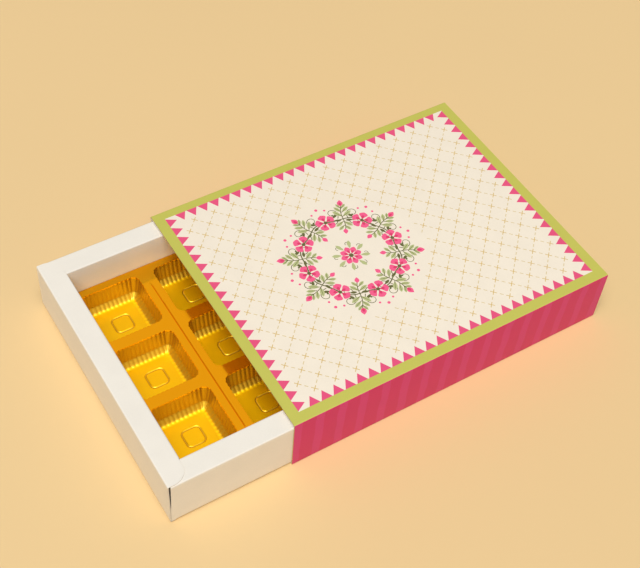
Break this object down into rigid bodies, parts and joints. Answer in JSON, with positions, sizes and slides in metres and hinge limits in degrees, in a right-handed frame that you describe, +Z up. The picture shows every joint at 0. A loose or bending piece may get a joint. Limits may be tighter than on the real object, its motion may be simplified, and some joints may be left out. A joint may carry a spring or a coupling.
{
  "type": "chocolate box",
  "caption": "Flat drawer gift box: a printed board sleeve, a white hollow-walled tray that slides out of its end, and a gold cavity insert for chocolates.",
  "frame": {"origin": "middle of the sleeve's underside, on the surface the box stands on", "axes": "+X along the box, away from the end where the tray comes out; +Y towards the far long side; +Z up"},
  "size_m": [0.239, 0.14, 0.0325],
  "materials": {
    "sleeve_top_print": "printed carton board, cream ground with a green border, satin varnish",
    "sleeve_side_print": "printed carton board, crimson with slightly lighter stripes, satin varnish",
    "white_board": "white carton board, smooth and matt",
    "gold_sheet": "thermoformed plastic sheet, metallised gold, mirror gloss"
  },
  "bodies": {
    "sleeve": {"sleeve_bottom_panel": "sleeve_side_print", "sleeve_top_panel": "sleeve_top_print", "sleeve_near_panel": "sleeve_side_print", "sleeve_far_panel": "sleeve_side_print", "sleeve_glue_flap": "white_board"},
    "tray": {"tray_base": "white_board", "tray_front_wall": "white_board", "tray_front_rim": "white_board", "tray_front_inner_wall": "white_board", "tray_front_foot_flap": "white_board", "tray_front_near_tab": "white_board", "tray_front_far_tab": "white_board", "tray_back_wall": "white_board", "tray_back_rim": "white_board", "tray_back_inner_wall": "white_board", "tray_back_foot_flap": "white_board", "tray_back_near_tab": "white_board", "tray_back_far_tab": "white_board", "tray_near_wall": "white_board", "tray_near_rim": "white_board", "tray_near_inner_wall": "white_board", "tray_near_foot_flap": "white_board", "tray_far_wall": "white_board", "tray_far_rim": "white_board", "tray_far_inner_wall": "white_board", "tray_far_foot_flap": "white_board", "cavity_insert": "gold_sheet"}
  },
  "joints": [
    {"name": "tray_slide", "type": "slide", "parent": "sleeve", "child": "tray", "axis": [-1, 0, 0], "range_m": [-0.062, 0.115]}
  ]
}
